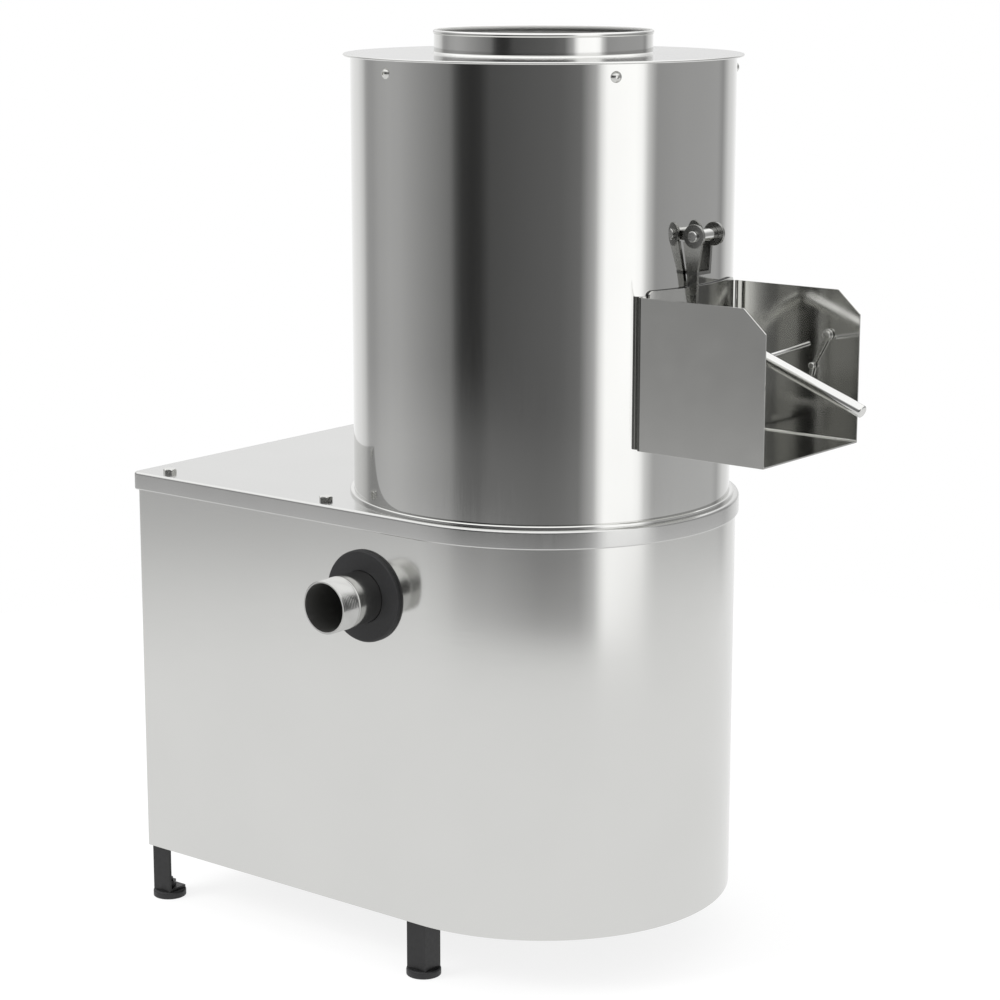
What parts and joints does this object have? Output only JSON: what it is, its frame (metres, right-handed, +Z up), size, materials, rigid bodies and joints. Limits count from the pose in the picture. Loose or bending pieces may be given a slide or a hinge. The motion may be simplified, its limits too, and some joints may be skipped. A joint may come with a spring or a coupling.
{
  "type": "potato peeling machine",
  "caption": "Floor-standing potato peeling machine: polished steel drum with feed neck, hinged discharge door and chute, on a sheet-steel housing with motor, belt drive and drain pipe.",
  "frame": {"origin": "centre of the machine's bounding box, on the floor under the feet", "axes": "+Z up, +X along the discharge chute towards the handle's tip, +Y away from the side with the drain pipe"},
  "size_m": [0.8276, 0.4814, 0.977],
  "materials": {
    "polished_steel": "mirror polished",
    "satin_steel": "satin",
    "machined_steel": "machined",
    "zinc_fasteners": "plated",
    "black_frame": "semi-matt paint",
    "black_rubber": "matt",
    "grey_iron": "cast, machined rims",
    "motor_casting": "cast, painted grey",
    "motor_plastic": "matt",
    "abrasive": "coarse grit in resin",
    "disc_casting": "cast, coated with coarse grit"
  },
  "bodies": {
    "machine": {"housing_wrap": "satin_steel", "rear_panel": "satin_steel", "rear_panel_screws": "zinc_fasteners", "cable_gland": "motor_plastic", "top_cover": "satin_steel", "cover_bolts": "zinc_fasteners", "top_rails": "black_frame", "deck_rails": "black_frame", "motor_rails": "black_frame", "crossbars": "black_frame", "bearing_deck": "black_frame", "leg_rear_near": "black_frame", "leg_rear_far": "black_frame", "leg_front_near": "black_frame", "leg_front_far": "black_frame", "rubber_feet": "black_rubber", "foot_bolts": "zinc_fasteners", "drum_shell": "polished_steel", "drum_foot_ring": "polished_steel", "drum_sump": "satin_steel", "drum_pan": "satin_steel", "liner_ring": "satin_steel", "abrasive_liner": "abrasive", "drum_lid": "polished_steel", "feed_neck": "polished_steel", "lid_screws": "zinc_fasteners", "chute_side_near": "polished_steel", "chute_side_far": "polished_steel", "chute_floor": "polished_steel", "catch_bolt": "zinc_fasteners", "door_gasket": "black_rubber", "hinge_bracket": "satin_steel", "drain_pipe": "machined_steel", "drain_grommet": "black_rubber", "bearing_housing": "grey_iron", "shaft_bearings": "machined_steel", "bearing_bolts": "zinc_fasteners", "shaft_seal": "black_rubber", "v_belt": "black_rubber", "motor_plate": "black_frame", "motor_flange": "motor_casting", "motor_bolts": "zinc_fasteners", "motor_shell": "motor_casting", "motor_stator": "machined_steel", "motor_bell": "motor_casting", "fan_cover": "black_frame", "terminal_box": "motor_plastic"},
    "door": {"door_panel": "polished_steel", "door_arm": "satin_steel", "door_handle": "polished_steel", "handle_crossbar": "polished_steel", "hinge_bolt": "machined_steel"},
    "spindle": {"main_shaft": "machined_steel", "peeling_disc": "disc_casting", "disc_nut": "machined_steel", "driven_pulley": "grey_iron"},
    "motor_rotor": {"motor_shaft": "machined_steel", "drive_pulley": "grey_iron", "motor_fan": "motor_plastic"},
    "catch": {"catch_lever": "satin_steel"}
  },
  "joints": [
    {"name": "door_hinge", "type": "hinge", "parent": "machine", "child": "door", "pos_m": [0.22223, 0.01575, 0.7802], "axis": [0, -1, 0], "range_deg": [0, 70]},
    {"name": "spindle_spin", "type": "hinge", "parent": "machine", "child": "spindle", "pos_m": [0.00923, 0.03025, 0.3], "axis": [0, 0, 1], "continuous": true},
    {"name": "motor_spin", "type": "hinge", "parent": "machine", "child": "motor_rotor", "pos_m": [-0.28077, 0.03025, 0.3], "axis": [0, 0, 1], "continuous": true},
    {"name": "catch_pivot", "type": "hinge", "parent": "machine", "child": "catch", "pos_m": [0.30823, 0.11425, 0.6765], "axis": [0, 1, 0], "range_deg": [-27, 63]}
  ],
  "couplings": [
    {"joint": "motor_spin", "follows": "spindle_spin", "ratio": 4}
  ]
}
